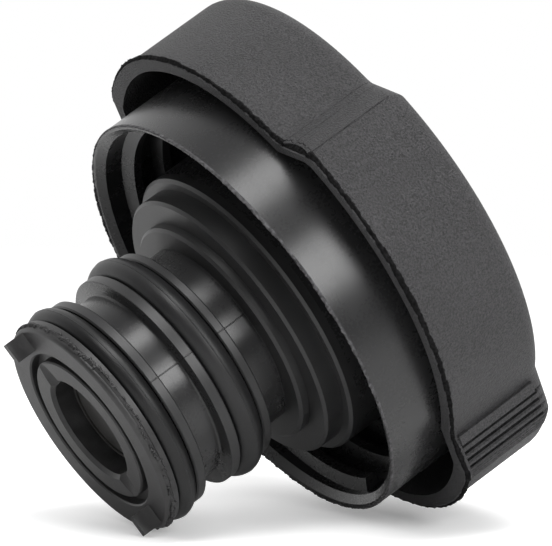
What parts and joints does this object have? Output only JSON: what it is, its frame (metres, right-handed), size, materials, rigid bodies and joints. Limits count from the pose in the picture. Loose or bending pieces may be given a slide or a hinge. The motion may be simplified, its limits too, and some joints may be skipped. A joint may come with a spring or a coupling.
{
  "type": "expansion tank cap",
  "caption": "Screw cap for a coolant expansion tank: lobed grip cover, internally threaded skirt, stepped stem with sealing rings, sprung pressure and vacuum valves.",
  "frame": {"origin": "centre of the cover's outer top face, on the cap's axis", "axes": "+Z along the cap's axis, from the cover's top face to the stem's tip; +X through one prong of the end cap"},
  "size_m": [0.0734, 0.0744, 0.0532],
  "materials": {
    "cover_plastic": "fine grained moulded texture",
    "body_plastic": "smooth moulded, semi-gloss",
    "end_cap_plastic": "satin moulded with weld flash",
    "ring_rubber": "satin, slightly greased",
    "valve_plastic": "satin moulded",
    "seal_rubber": "satin",
    "spring_steel": "drawn wire"
  },
  "bodies": {
    "cap_body": {"cover": "cover_plastic", "insert_body": "body_plastic", "end_cap": "end_cap_plastic", "upper_o_ring": "ring_rubber", "lower_o_ring": "ring_rubber", "pressure_spring": "spring_steel"},
    "pressure_valve": {"pressure_plunger": "valve_plastic", "pressure_seal": "seal_rubber", "vacuum_spring": "spring_steel"},
    "vacuum_valve": {"vacuum_button": "valve_plastic", "vacuum_washer": "spring_steel"}
  },
  "joints": [
    {"name": "pressure_slide", "type": "slide", "parent": "cap_body", "child": "pressure_valve", "axis": [0, 0, -1], "range_m": [0, 0.0025], "stiffness_N_per_m": 2000, "deforming": ["pressure_spring"]},
    {"name": "vacuum_slide", "type": "slide", "parent": "pressure_valve", "child": "vacuum_valve", "axis": [0, 0, 1], "range_m": [0, 0.0012], "stiffness_N_per_m": 150, "deforming": ["vacuum_spring"]}
  ]
}
